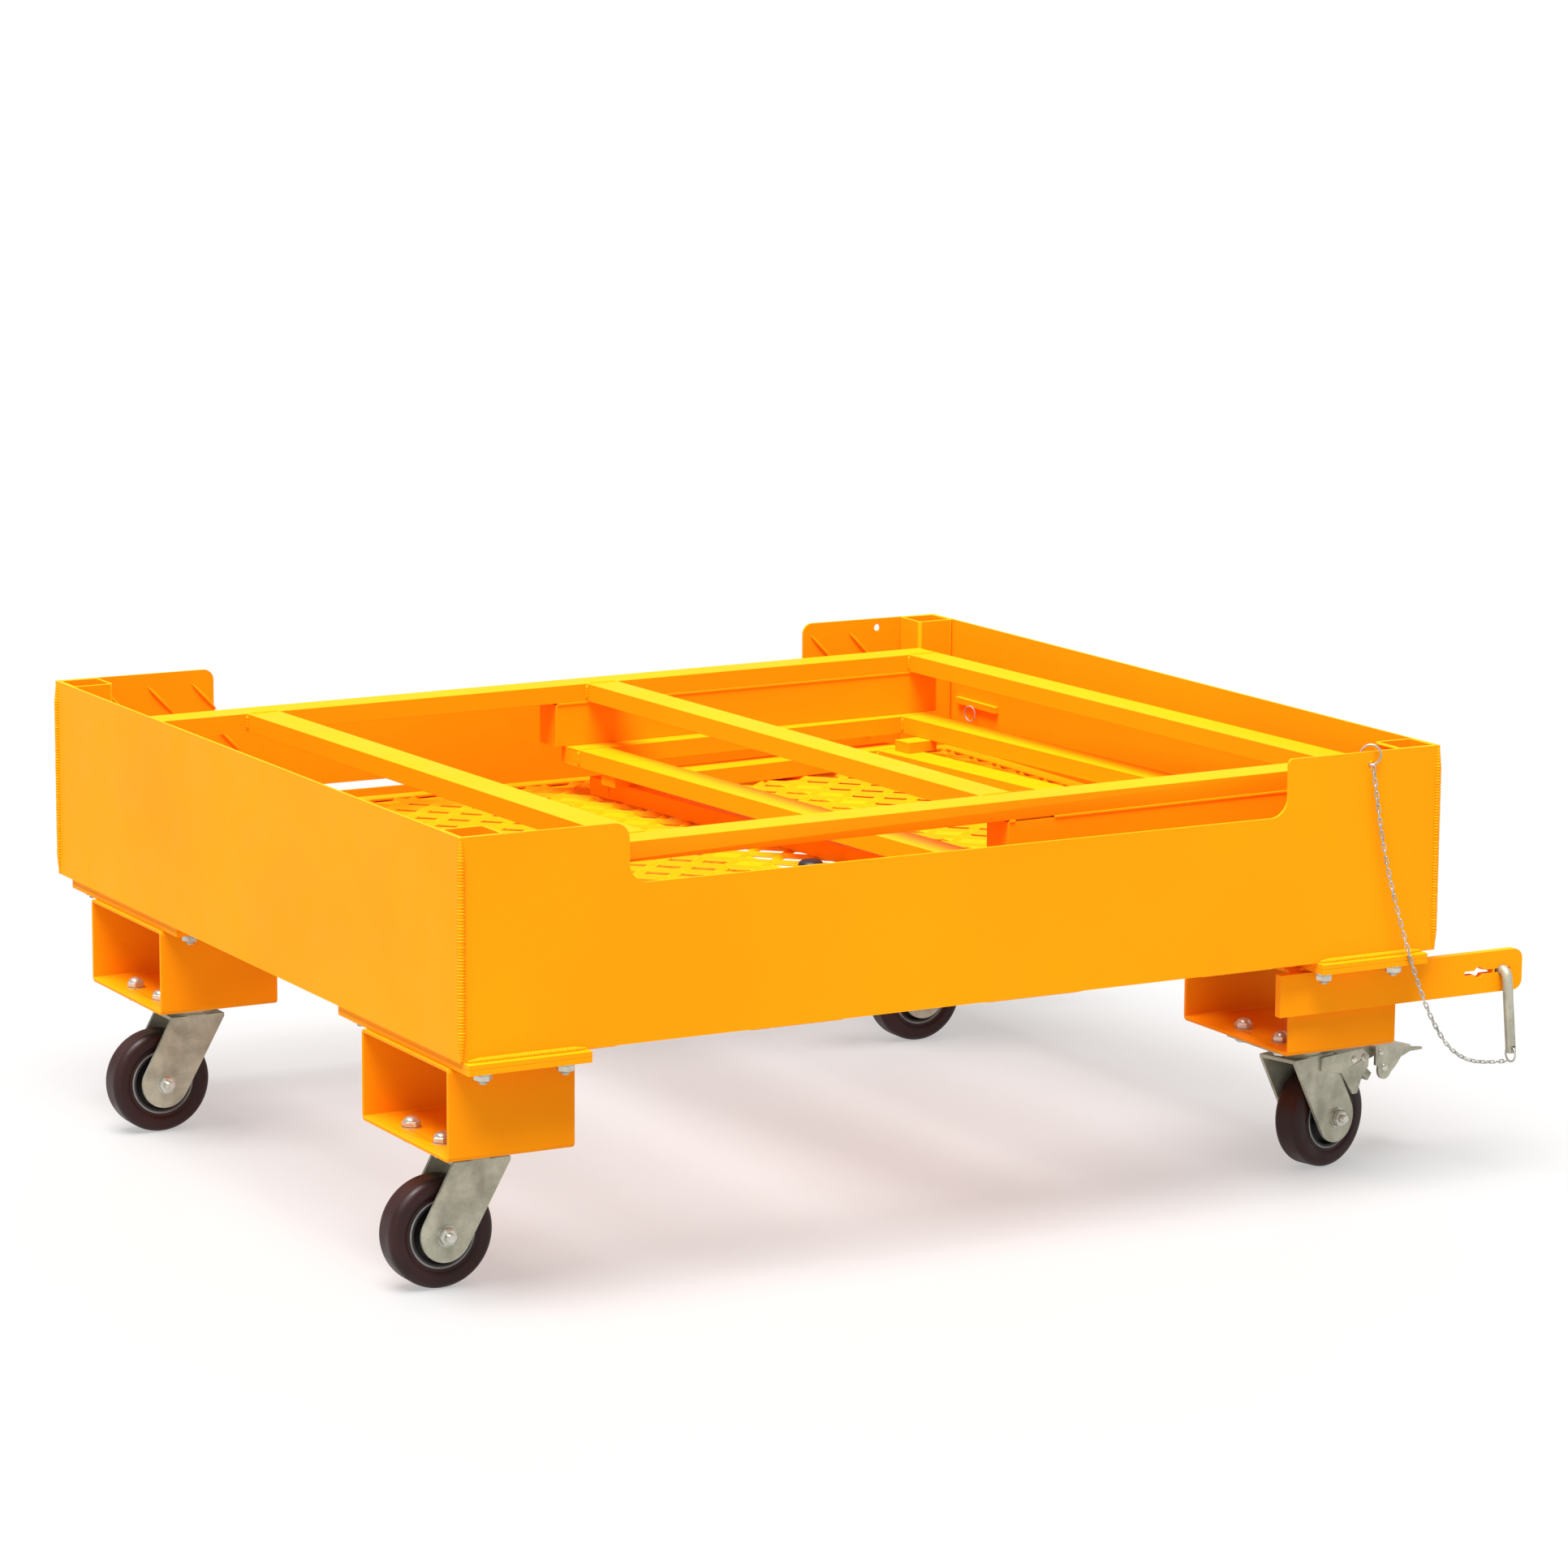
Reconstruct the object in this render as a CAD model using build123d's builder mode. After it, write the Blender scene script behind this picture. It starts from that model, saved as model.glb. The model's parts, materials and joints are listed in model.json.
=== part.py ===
from build123d import *
from math import cos, degrees, radians, sin, tan
import os

os.makedirs("parts", exist_ok=True)

# A steel work platform for a forklift, folded for transport: a shallow tray on fork pockets and four
# swivel casters, with its guardrail panels lying loose inside. Millimetres, X to the right, Y to the
# back, Z up; Z = 0 is the ground, and the origin is under the middle of the whole object.

# ---- driving dimensions ----------------------------------------------------------------------------
TRAY_WIDTH = 1220
TRAY_DEPTH = 1120
WALL_HEIGHT = 235
SHEET = 3
POST = 50
POST_WALL = 3

CASTER_HEIGHT = 160
WHEEL_DIAMETER = 120
CASTER_TRAIL = 40
CASTER_INSET = 75
# Each caster's swivel axis in X and Y, and the direction that its wheel trails in.
casters = {
    "fl": (CASTER_INSET, 135, 180),
    "fr": (1119, 120, 15),
    "rl": (CASTER_INSET, 903, 180),
    "rr": (1108, 903, 180),
}

POCKET_LENGTH = 146
POCKET_WIDTH = 214
POCKET_HEIGHT = 100
POCKET_WALL = 4
POCKET_LEFT_X = 0
POCKET_RIGHT_X = 1043
POCKET_ROWS = (29, 801)

PLATE_THICKNESS = 6
PLATE_LENGTH = 142
PLATE_WIDTH = 324
PLATE_LEFT_X = 4
PLATE_RIGHT_X = 1060
PLATE_ROWS = (-12, 762)

BEAM = 40
MESH_THICKNESS = 4
MESH_TOP_BELOW_RIM = 164

TUBE_WIDTH = 42
TUBE_HEIGHT = 22
TUBE_WALL = 2

LOCK_BAR_REACH = 1358
LOCK_BAR_START = 1024
LOCK_BAR_LOW = 209
LOCK_BAR_HEIGHT = 48
LOCK_BAR_THICKNESS = 10
LOCK_BAR_CORNER = 12
KEYHOLE_RADIUS = 6.5
KEYHOLES_X = (1297, 1330)
KEYHOLE_Z = 234
PIN_RADIUS = 6

BRAKE_TRAVEL = 15
RUNNING_CLEARANCE = 0.08

# ---- derived levels --------------------------------------------------------------------------------
plate_low = CASTER_HEIGHT + POCKET_HEIGHT
pad_low = plate_low + PLATE_THICKNESS
wall_low = pad_low + PLATE_THICKNESS
rim = wall_low + WALL_HEIGHT
mesh_top = rim - MESH_TOP_BELOW_RIM
mesh_low = mesh_top - MESH_THICKNESS

# The left wheels trail past the tray, and the lock bars reach past its right side.
overall_left = CASTER_INSET - CASTER_TRAIL - WHEEL_DIAMETER / 2
left = -(overall_left + LOCK_BAR_REACH) / 2
front = -(TRAY_DEPTH + PLATE_ROWS[0]) / 2


def at(x, y, z=0):
    """A point given from the tray's front left corner and the ground."""
    return Vector(left + x, front + y, z)


def box(low, high):
    """Adds a box between two corners given from the tray's front left corner and the ground."""
    a = at(*low)
    b = at(*high)
    size = b - a
    with Locations((a + b) / 2):
        Box(size.X, size.Y, size.Z)


def save(part, label):
    part.label = label
    export_step(part, f"parts/{label}.step")


def level(x, y, z, angle=0):
    """A horizontal plane at a point, turned by an angle about the vertical."""
    turn = radians(angle)
    return Plane(origin=at(x, y, z), x_dir=(cos(turn), sin(turn), 0), z_dir=(0, 0, 1))


def upright_front(x, y, z):
    """A vertical plane facing the front, with X to the right and its Y upwards."""
    return Plane(origin=at(x, y, z), x_dir=(1, 0, 0), z_dir=(0, -1, 0))


# ---- walls -----------------------------------------------------------------------------------------
CUT_DEPTH = 65
FRONT_CUT = (195, 1015)
REAR_CUT = (203, 1023)
CUT_CORNER = 22
WING_CORNERS = {"front": (18, 6), "rear": (13, 13)}
RING_HOLE = (1126, 15)
REAR_HOLE = (1133, 12)
RING_HOLE_RADIUS = 4.5
SLOT_SPAN = (240, 470)
SLOT_HEIGHT = 10

for label, x in (("left_wall", 0), ("right_wall", TRAY_WIDTH - SHEET)):
    with BuildPart() as wall:
        box((x, 0, wall_low), (x + SHEET, TRAY_DEPTH, rim))
    save(wall.part, label)


def end_wall(y, cut, corners):
    """A wall between the side walls, with its top cut down along the middle."""
    first, last = corners
    with BuildPart() as wall:
        with BuildSketch(upright_front(0, y, rim)) as outline:
            with BuildLine():
                FilletPolyline(
                    (cut[0], 0), (cut[0], -CUT_DEPTH), (cut[1], -CUT_DEPTH), (cut[1], 0),
                    radius=CUT_CORNER,
                )
                Line((cut[1], 0), (TRAY_WIDTH - SHEET, 0))
                Line((TRAY_WIDTH - SHEET, 0), (TRAY_WIDTH - SHEET, -WALL_HEIGHT))
                Line((TRAY_WIDTH - SHEET, -WALL_HEIGHT), (SHEET, -WALL_HEIGHT))
                Line((SHEET, -WALL_HEIGHT), (SHEET, 0))
                Line((SHEET, 0), (cut[0], 0))
            make_face()
            for x, radius in ((cut[0], first), (cut[1], last)):
                fillet(outline.vertices().sort_by_distance((x, 0))[0], radius)
        extrude(amount=-SHEET)
    return wall.part


with BuildPart() as front_wall:
    add(end_wall(0, FRONT_CUT, WING_CORNERS["front"]))
    with Locations(upright_front(RING_HOLE[0], 0, rim - RING_HOLE[1])):
        Hole(RING_HOLE_RADIUS)
save(front_wall.part, "front_wall")

with BuildPart() as rear_wall:
    add(end_wall(TRAY_DEPTH - SHEET, REAR_CUT, WING_CORNERS["rear"]))
    slot_middle = (SLOT_SPAN[0] + SLOT_SPAN[1]) / 2
    with BuildSketch(upright_front(slot_middle, TRAY_DEPTH - SHEET, mesh_top + SLOT_HEIGHT / 2)):
        SlotOverall(SLOT_SPAN[1] - SLOT_SPAN[0], SLOT_HEIGHT)
    extrude(amount=-SHEET, mode=Mode.SUBTRACT)
    with Locations(upright_front(REAR_HOLE[0], TRAY_DEPTH - SHEET, rim - REAR_HOLE[1])):
        Hole(RING_HOLE_RADIUS)
save(rear_wall.part, "rear_wall")

# ---- corner sockets, which take the panel legs -----------------------------------------------------
SOCKET_CORNER = 4
near = SHEET
far_x = TRAY_WIDTH - SHEET - POST
far_y = TRAY_DEPTH - SHEET - POST
with BuildPart() as corner_sockets:
    for x in (near, far_x):
        for y in (near, far_y):
            with BuildSketch(level(x + POST / 2, y + POST / 2, wall_low)):
                RectangleRounded(POST, POST, SOCKET_CORNER)
                Rectangle(POST - 2 * POST_WALL, POST - 2 * POST_WALL, mode=Mode.SUBTRACT)
            extrude(amount=WALL_HEIGHT)
save(corner_sockets.part, "corner_sockets")

# ---- base frame under the floor --------------------------------------------------------------------
beam_high = mesh_low - wall_low
beam_front = SHEET
beam_back = far_y - BEAM
CROSS_BEAMS_X = (295, 590, 885)


def beam(low, high, along):
    """A hollow beam between two corners; its ends are open along X or Y."""
    box(low, high)
    inner_low = [value + POST_WALL for value in low]
    inner_high = [value - POST_WALL for value in high]
    inner_low[along] = low[along]
    inner_high[along] = high[along]
    a = at(*inner_low)
    b = at(*inner_high)
    size = b - a
    with Locations((a + b) / 2):
        Box(size.X, size.Y, size.Z, mode=Mode.SUBTRACT)


with BuildPart() as end_beams:
    beam((near + POST, beam_front, wall_low), (far_x, beam_front + BEAM, mesh_low), along=0)
    beam((SHEET, beam_back, wall_low), (TRAY_WIDTH - SHEET, far_y, mesh_low), along=0)
save(end_beams.part, "base_end_beams")

side_beam_y = (near + POST, beam_back)
with BuildPart() as side_beams:
    for x in (SHEET, TRAY_WIDTH - SHEET - BEAM):
        beam((x, side_beam_y[0], wall_low), (x + BEAM, side_beam_y[1], mesh_low), along=1)
save(side_beams.part, "base_side_beams")

with BuildPart() as cross_beams:
    for x in CROSS_BEAMS_X:
        beam((x, beam_front + BEAM, wall_low), (x + BEAM, beam_back, mesh_low), along=1)
save(cross_beams.part, "base_cross_beams")

# ---- floor -----------------------------------------------------------------------------------------
PLUG_PLACE = (651, 430)
PLUG_RADIUS = 15
PLUG_HEIGHT = 8

with BuildPart() as floor_mesh:
    box((SHEET, SHEET, mesh_low), (TRAY_WIDTH - SHEET, far_y, mesh_top))
    for x in (near, far_x):
        a = at(x, near, mesh_low)
        with Locations(a + Vector(POST / 2, POST / 2, MESH_THICKNESS / 2)):
            Box(POST, POST, MESH_THICKNESS, mode=Mode.SUBTRACT)
save(floor_mesh.part, "floor_mesh")

with BuildPart() as floor_plug:
    with BuildSketch(level(*PLUG_PLACE, mesh_top)):
        Circle(PLUG_RADIUS)
    extrude(amount=PLUG_HEIGHT)
    fillet(floor_plug.faces().sort_by(Axis.Z)[-1].edges(), PLUG_HEIGHT - 1)
save(floor_plug.part, "floor_plug")

# ---- pads welded under the tray, and the plates of the fork pockets bolted to them -----------------
STUD_RADIUS = 5
STUD_HOLE_RADIUS = 5.5
STUD_SPREAD_X = 47
STUD_END_INSET = 12
STUD_PAST_NUT = 4
NUT_ACROSS_FLATS = 17
NUT_HEIGHT = 8

plates = [(x, y) for x in (PLATE_LEFT_X, PLATE_RIGHT_X) for y in PLATE_ROWS]


def stud_places(x, y):
    """The four studs of the plate whose front left corner is given, about the middle of its pocket."""
    pocket_x = POCKET_LEFT_X if x == PLATE_LEFT_X else POCKET_RIGHT_X
    middle = pocket_x + POCKET_LENGTH / 2
    for dx in (-STUD_SPREAD_X, STUD_SPREAD_X):
        for dy in (STUD_END_INSET, PLATE_WIDTH - STUD_END_INSET):
            yield middle + dx, y + dy


with BuildPart() as mounting_pads:
    for x, y in plates:
        box((x, y, pad_low), (x + PLATE_LENGTH, y + PLATE_WIDTH, wall_low))
save(mounting_pads.part, "mounting_pads")

with BuildPart() as pocket_plates:
    for x, y in plates:
        box((x, y, plate_low), (x + PLATE_LENGTH, y + PLATE_WIDTH, pad_low))
        for place in stud_places(x, y):
            with Locations(at(*place, pad_low)):
                Hole(STUD_HOLE_RADIUS, depth=PLATE_THICKNESS)
save(pocket_plates.part, "pocket_plates")

with BuildPart() as pad_fasteners:
    for x, y in plates:
        for place in stud_places(x, y):
            with BuildSketch(level(*place, pad_low)):
                Circle(STUD_RADIUS)
            extrude(amount=-(PLATE_THICKNESS + NUT_HEIGHT + STUD_PAST_NUT))
            with BuildSketch(level(*place, plate_low)):
                RegularPolygon(NUT_ACROSS_FLATS / 2, 6, major_radius=False)
            extrude(amount=-NUT_HEIGHT)
save(pad_fasteners.part, "pad_fasteners")

# ---- fork pockets ----------------------------------------------------------------------------------
BOLT_RADIUS = 5
BOLT_HOLE_RADIUS = 5.5
CASTER_PLATE = (130, 110)
CASTER_BOLTS = (100, 76)
CASTER_PLATE_THICKNESS = 6
CASTER_PLATE_CORNER = 8
POCKET_CORNER = 6
POCKET_INNER_CORNER = 2

bolt_offsets = [
    (side_x * CASTER_BOLTS[0] / 2, side_y * CASTER_BOLTS[1] / 2)
    for side_x in (-1, 1)
    for side_y in (-1, 1)
]


def bolt_places(x, y):
    """The four bolts of the caster whose swivel axis is given."""
    for dx, dy in bolt_offsets:
        yield x + dx, y + dy


for tag, (x, y, _) in casters.items():
    pocket_x = POCKET_LEFT_X if "l" in tag[1] else POCKET_RIGHT_X
    pocket_y = POCKET_ROWS[0] if tag[0] == "f" else POCKET_ROWS[1]
    middle = (pocket_y + POCKET_WIDTH / 2, CASTER_HEIGHT + POCKET_HEIGHT / 2)
    section = Plane(origin=at(pocket_x, *middle), x_dir=(0, 1, 0), z_dir=(1, 0, 0))
    with BuildPart() as pocket:
        with BuildSketch(section):
            RectangleRounded(POCKET_WIDTH, POCKET_HEIGHT, POCKET_CORNER)
            inner = (POCKET_WIDTH - 2 * POCKET_WALL, POCKET_HEIGHT - 2 * POCKET_WALL)
            RectangleRounded(*inner, POCKET_INNER_CORNER, mode=Mode.SUBTRACT)
        extrude(amount=POCKET_LENGTH)
        for place in bolt_places(x, y):
            with Locations(at(*place, CASTER_HEIGHT + POCKET_WALL)):
                Hole(BOLT_HOLE_RADIUS, depth=POCKET_WALL)
    save(pocket.part, f"fork_pocket_{tag}")

# ---- lock bars and their pins ----------------------------------------------------------------------
KEY_SLOT_LENGTHS = (40, 22)
KEY_SLOT_HEIGHT = 5
lock_bars = {
    "front": (POCKET_ROWS[0] - LOCK_BAR_THICKNESS, -1),
    "rear": (POCKET_ROWS[1] + POCKET_WIDTH, 1),
}
bar_length = LOCK_BAR_REACH - LOCK_BAR_START
bar_middle = (LOCK_BAR_START + LOCK_BAR_REACH) / 2
bar_middle_z = LOCK_BAR_LOW + LOCK_BAR_HEIGHT / 2
for row, (y, _) in lock_bars.items():
    with BuildPart() as lock_bar:
        with BuildSketch(upright_front(bar_middle, y, bar_middle_z)) as plate:
            Rectangle(bar_length, LOCK_BAR_HEIGHT)
            fillet(plate.vertices().group_by(Axis.X)[-1], LOCK_BAR_CORNER)
            for x, slot_length in zip(KEYHOLES_X, KEY_SLOT_LENGTHS):
                with Locations((x - bar_middle, KEYHOLE_Z - bar_middle_z)):
                    Circle(KEYHOLE_RADIUS, mode=Mode.SUBTRACT)
                    Rectangle(slot_length, KEY_SLOT_HEIGHT, mode=Mode.SUBTRACT)
        extrude(amount=-LOCK_BAR_THICKNESS)
    save(lock_bar.part, f"lock_bar_{row}")

PIN_LENGTH = 66
PIN_FRONT_GAP = 9
PIN_DROP = 96
PIN_LEAN = 9
PIN_BEND = 8.5
# The cross key's width, height and thickness, and its gap from the bar's inner face.
PIN_KEY = (5, 20, 4)
PIN_KEY_GAP = 4
EYE_RADIUS = 2.6
EYE_ABOVE_FOOT = 6
EYE_INSET = 0.5
RING_DROP = 7.8
RING_WIRE = 1.1
PIN_RING_RADIUS = 9
pin_x = KEYHOLES_X[1]
pin_z = KEYHOLE_Z

for row, (bar_y, outward) in lock_bars.items():
    outer_face = bar_y if row == "front" else bar_y + LOCK_BAR_THICKNESS
    handle_y = outer_face + outward * PIN_FRONT_GAP
    tail_y = outer_face - outward * (PIN_LENGTH - PIN_FRONT_GAP)
    foot = at(pin_x + PIN_LEAN, handle_y, pin_z - PIN_DROP)
    with BuildPart() as heel_pin:
        with BuildLine() as route:
            tail = at(pin_x, tail_y, pin_z)
            corner = at(pin_x, handle_y, pin_z)
            FilletPolyline(tail, corner, foot, radius=PIN_BEND)
        with BuildSketch(Plane(origin=tail, z_dir=(0, outward, 0))):
            Circle(PIN_RADIUS)
        sweep(path=route.wires()[0])
        key_y = outer_face - outward * (LOCK_BAR_THICKNESS + PIN_KEY_GAP + PIN_KEY[2] / 2)
        with Locations(at(pin_x, key_y, pin_z)):
            Box(PIN_KEY[0], PIN_KEY[2], PIN_KEY[1])
        eye = at(pin_x + PIN_LEAN - EYE_INSET, handle_y, pin_z - PIN_DROP + EYE_ABOVE_FOOT)
        with Locations(Plane(origin=eye, z_dir=(0, 1, 0))):
            Hole(EYE_RADIUS)
    save(heel_pin.part, f"heel_pin_{row}")
    if row == "front":
        ring_centre = eye - Vector(0, 0, RING_DROP)

with BuildPart() as pin_ring:
    with Locations(Plane(origin=ring_centre, z_dir=(1, 0, 0))):
        Torus(PIN_RING_RADIUS, RING_WIRE)
save(pin_ring.part, "pin_ring")

WALL_RING_RADIUS = 11.2
WALL_RING_WIRE = 1.25
WALL_RING_TURN = 48
ring_turn = radians(WALL_RING_TURN)
with BuildPart() as wall_ring:
    ring_middle = at(RING_HOLE[0], SHEET / 2, rim - RING_HOLE[1] + WALL_RING_RADIUS)
    with Locations(Plane(origin=ring_middle, z_dir=(cos(ring_turn), sin(ring_turn), 0))):
        Torus(WALL_RING_RADIUS, WALL_RING_WIRE)
save(wall_ring.part, "wall_ring")

# The chain hangs from the ring in the front wall to the ring of the front heel pin.
CHAIN_DIAMETER = 5
CHAIN_ARC_SHARE = 0.45
chain_points = [
    (1123, -8, 492), (1129, -9, 452), (1136, -10, 410), (1147, -12, 361), (1161, -14, 313),
    (1175, -15, 270), (1191, -15, 230), (1213, -12, 188), (1244, -6, 151), (1287, 2, 131),
    (1335, 8, 129),
]


def cord_path(points, share):
    """The points of a hanging cord and the arc radius at each of its corners."""
    places = [at(*point) for point in points]
    radii = []
    for before, corner, after in zip(places, places[1:], places[2:]):
        incoming = corner - before
        outgoing = after - corner
        shorter = min(incoming.length, outgoing.length)
        half_turn = radians(incoming.get_angle(outgoing)) / 2
        radii.append(share * shorter / tan(half_turn))
    return places, radii


chain_places, chain_radii = cord_path(chain_points, CHAIN_ARC_SHARE)
with BuildPart() as pin_chain:
    with BuildLine() as chain_line:
        FilletPolyline(*chain_places, radius=chain_radii)
    with BuildSketch(Plane(origin=chain_places[0], z_dir=chain_places[1] - chain_places[0])):
        Circle(CHAIN_DIAMETER / 2)
    sweep(path=chain_line.wires()[0])
save(pin_chain.part, "pin_chain")

# ---- small fittings on the walls -------------------------------------------------------------------
SCREW_FROM_END = 25
SCREW_BELOW_RIM = 66
SCREW_HEAD_RADIUS = 6.5
SCREW_HEAD_HEIGHT = 5
SCREW_DRIVE = 2.5
SCREW_DRIVE_DEPTH = 3
with BuildPart() as socket_screws:
    for y in (SCREW_FROM_END, TRAY_DEPTH - SCREW_FROM_END):
        place = at(TRAY_WIDTH, y, rim - SCREW_BELOW_RIM)
        face = Plane(origin=place, x_dir=(0, 1, 0), z_dir=(1, 0, 0))
        with BuildSketch(face):
            Circle(SCREW_HEAD_RADIUS)
        extrude(amount=SCREW_HEAD_HEIGHT)
        with BuildSketch(face.offset(SCREW_HEAD_HEIGHT)):
            RegularPolygon(SCREW_DRIVE, 6, major_radius=False)
        extrude(amount=-SCREW_DRIVE_DEPTH, mode=Mode.SUBTRACT)
save(socket_screws.part, "socket_screws")

HOLDER_Y = (950, 1048)
HOLDER_BELOW_RIM = (98, 107)
HOLDER_DEPTH = 6
holder_high = rim - HOLDER_BELOW_RIM[0]
holder_low = rim - HOLDER_BELOW_RIM[1]
holder_right = TRAY_WIDTH - SHEET
with BuildPart() as pin_holder:
    box((holder_right - HOLDER_DEPTH, HOLDER_Y[0], holder_low), (holder_right, HOLDER_Y[1], holder_high))
save(pin_holder.part, "pin_holder")

# ---- casters ---------------------------------------------------------------------------------------
WHEEL_RADIUS = WHEEL_DIAMETER / 2
CORE_RADIUS = 38
TREAD_WIDTH = 38
TREAD_ROUNDING = 9
CORE_WIDTH = 34
# The tyre grips the core's rim over this depth.
TYRE_GRIP = 3
RIM_DEPTH = 5
HUB_WIDTH = 44
HUB_RADIUS = 14
WEB = 8
BEARING_RADIUS = 9
BEARING_LENGTH = 45
AXLE_RADIUS = 5
AXLE_HEX = 8.5
AXLE_HEAD = 8
AXLE_NUT = 10
AXLE_END = 14
FORK_GAP = 46
FORK_SHEET = 4
FORK_TOP = 138
RACE_TOP = 146
LOWER_RACE_RADIUS = 27
UPPER_RACE_RADIUS = 30
RACE_GAP = 0.4
KINGPIN_RADIUS = 6
KINGPIN_HEX = 9
KINGPIN_HEAD_LOW = 127
LEG_FRONT = -35
LEG_BACK = 31
AXLE_BOSS_RADIUS = 29
half_span = FORK_GAP / 2 + FORK_SHEET
plate_bottom = CASTER_HEIGHT - CASTER_PLATE_THICKNESS


def steered(x, y, angle, along, across, z):
    """A point of a caster: along its trail, across it, and above the ground."""
    turn = radians(angle)
    shift_x = along * cos(turn) - across * sin(turn)
    shift_y = along * sin(turn) + across * cos(turn)
    return at(x + shift_x, y + shift_y, z)


def trail_direction(angle):
    return Vector(cos(radians(angle)), sin(radians(angle)), 0)


def axle_direction(angle):
    return Vector(-sin(radians(angle)), cos(radians(angle)), 0)


def side_plane(x, y, angle, across):
    """A vertical plane along a caster's trail: its X is the trail from the swivel axis, its Y is height."""
    # The plane's normal is x_dir cross up, so it points against the axle direction.
    origin = steered(x, y, angle, 0, across, 0)
    return Plane(origin=origin, x_dir=trail_direction(angle), z_dir=-axle_direction(angle))


for tag, (x, y, angle) in casters.items():
    centre = steered(x, y, angle, CASTER_TRAIL, 0, WHEEL_RADIUS)
    spin = Axis(centre, axle_direction(angle))
    half_section = Plane(origin=centre, x_dir=axle_direction(angle), z_dir=trail_direction(angle))

    with BuildPart() as tread:
        with BuildSketch(half_section):
            with Locations((0, (WHEEL_RADIUS + CORE_RADIUS) / 2)):
                RectangleRounded(TREAD_WIDTH, WHEEL_RADIUS - CORE_RADIUS, TREAD_ROUNDING)
            with Locations((0, CORE_RADIUS + TYRE_GRIP)):
                Rectangle(CORE_WIDTH, 2 * TYRE_GRIP)
        revolve(axis=spin)
    save(tread.part, f"wheel_tread_{tag}")

    with BuildPart() as core:
        with BuildSketch(half_section):
            with Locations((0, (BEARING_RADIUS + HUB_RADIUS) / 2)):
                Rectangle(HUB_WIDTH, HUB_RADIUS - BEARING_RADIUS)
            with Locations((0, (HUB_RADIUS + CORE_RADIUS - RIM_DEPTH) / 2)):
                Rectangle(WEB, CORE_RADIUS - RIM_DEPTH - HUB_RADIUS + 2)
            with Locations((0, CORE_RADIUS - RIM_DEPTH / 2)):
                Rectangle(CORE_WIDTH, RIM_DEPTH)
        revolve(axis=spin)
    save(core.part, f"wheel_core_{tag}")

    with BuildPart() as bearing:
        with BuildSketch(half_section):
            inner = AXLE_RADIUS + RUNNING_CLEARANCE
            with Locations((0, (BEARING_RADIUS + inner) / 2)):
                Rectangle(BEARING_LENGTH, BEARING_RADIUS - inner)
        revolve(axis=spin)
    save(bearing.part, f"wheel_bearing_{tag}")

    with BuildPart() as axle:
        # The nuts of the left casters face the front.
        head_side = axle_direction(angle) if tag in ("fr", "rr") else -axle_direction(angle)
        bolt_plane = Plane(origin=centre, x_dir=(0, 0, 1), z_dir=head_side)
        with BuildSketch(bolt_plane.offset(half_span)):
            Circle(AXLE_RADIUS)
        extrude(amount=-(2 * half_span + AXLE_END))
        with BuildSketch(bolt_plane.offset(half_span)):
            RegularPolygon(AXLE_HEX, 6, major_radius=False)
        extrude(amount=AXLE_HEAD)
        with BuildSketch(bolt_plane.offset(-half_span)):
            RegularPolygon(AXLE_HEX, 6, major_radius=False)
        extrude(amount=-AXLE_NUT)
    save(axle.part, f"axle_bolt_{tag}")

    with BuildPart() as fork:
        for side in (-1, 1):
            outer = side_plane(x, y, angle, side * half_span)
            with BuildSketch(outer):
                with Locations((CASTER_TRAIL, WHEEL_RADIUS)):
                    Circle(AXLE_BOSS_RADIUS)
                with Locations(((LEG_FRONT + LEG_BACK) / 2, FORK_TOP - FORK_SHEET / 2)):
                    Rectangle(LEG_BACK - LEG_FRONT, FORK_SHEET)
                make_hull()
                with Locations((CASTER_TRAIL, WHEEL_RADIUS)):
                    Circle(AXLE_RADIUS + RUNNING_CLEARANCE, mode=Mode.SUBTRACT)
            extrude(amount=side * FORK_SHEET)
        with BuildSketch(level(x, y, FORK_TOP, angle)):
            with Locations(((LEG_FRONT + LEG_BACK) / 2, 0)):
                Rectangle(LEG_BACK - LEG_FRONT, 2 * half_span)
        extrude(amount=-FORK_SHEET)
        with BuildSketch(level(x, y, FORK_TOP)):
            Circle(LOWER_RACE_RADIUS)
        extrude(amount=RACE_TOP - FORK_TOP)
        with BuildSketch(level(x, y, RACE_TOP)):
            Circle(KINGPIN_RADIUS + RUNNING_CLEARANCE)
        extrude(amount=-(RACE_TOP - FORK_TOP + FORK_SHEET), mode=Mode.SUBTRACT)
    save(fork.part, f"caster_fork_{tag}")

    with BuildPart() as plate:
        with BuildSketch(level(x, y, plate_bottom)):
            RectangleRounded(*CASTER_PLATE, CASTER_PLATE_CORNER)
            with Locations(*bolt_offsets):
                Circle(BOLT_HOLE_RADIUS, mode=Mode.SUBTRACT)
        extrude(amount=CASTER_PLATE_THICKNESS)
        with BuildSketch(level(x, y, plate_bottom)):
            Circle(UPPER_RACE_RADIUS)
        extrude(amount=-(plate_bottom - RACE_TOP - RACE_GAP))
        with BuildSketch(level(x, y, plate_bottom)):
            Circle(KINGPIN_RADIUS)
        extrude(amount=-(plate_bottom - KINGPIN_HEAD_LOW))
        with BuildSketch(level(x, y, KINGPIN_HEAD_LOW)):
            RegularPolygon(KINGPIN_HEX, 6, major_radius=False)
        extrude(amount=FORK_TOP - FORK_SHEET - RACE_GAP - KINGPIN_HEAD_LOW)
    save(plate.part, f"caster_plate_{tag}")

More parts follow.
